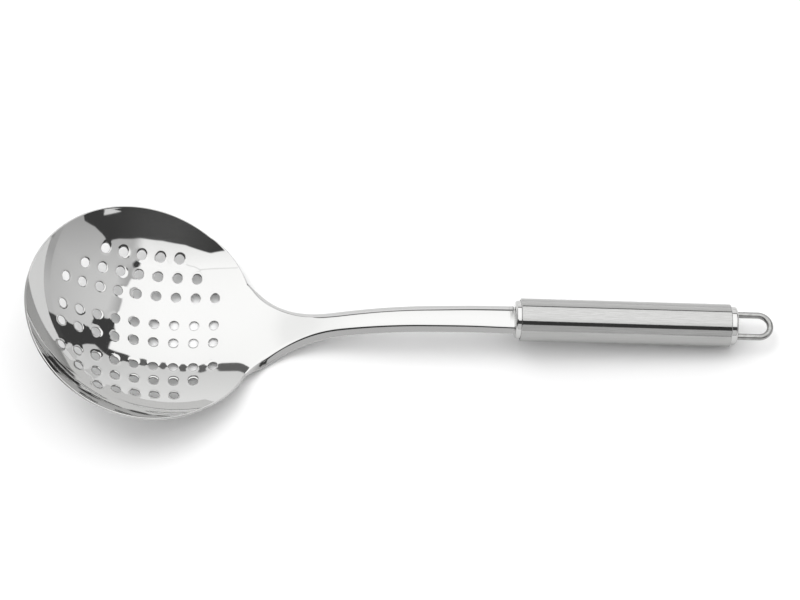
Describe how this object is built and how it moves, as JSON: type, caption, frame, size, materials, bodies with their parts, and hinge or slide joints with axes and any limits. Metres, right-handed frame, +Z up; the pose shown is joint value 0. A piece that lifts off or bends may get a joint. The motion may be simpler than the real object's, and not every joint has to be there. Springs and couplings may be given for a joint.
{
  "type": "perforated skimmer",
  "caption": "Stainless skimmer: round perforated dish on a bevelled stem, held in a brushed tubular handle with a polished plug at each end and a wire loop to hang it by.",
  "frame": {"origin": "on the table under the middle of the skimmer's length, as it lies on its dish and on the rear end of its handle", "axes": "+X along the skimmer from the dish to the hanging loop, +Z up out of the hollow side of the dish, +Y to the left of the handle"},
  "size_m": [0.3456, 0.11, 0.0436],
  "materials": {
    "polished_steel": "mirror-polished stainless steel",
    "brushed_steel": "stainless steel, brushed along the handle",
    "weld_metal": "as welded",
    "bonding_compound": "cured bonding compound"
  },
  "bodies": {
    "root": {"blade": "polished_steel", "front_plug": "polished_steel", "handle_tube": "brushed_steel", "rear_plug": "polished_steel", "hanging_loop": "polished_steel", "front_bond_ring": "bonding_compound", "rear_bond_ring": "bonding_compound", "tang_weld": "weld_metal", "loop_weld_left": "weld_metal", "loop_weld_right": "weld_metal"}
  },
  "joints": []
}
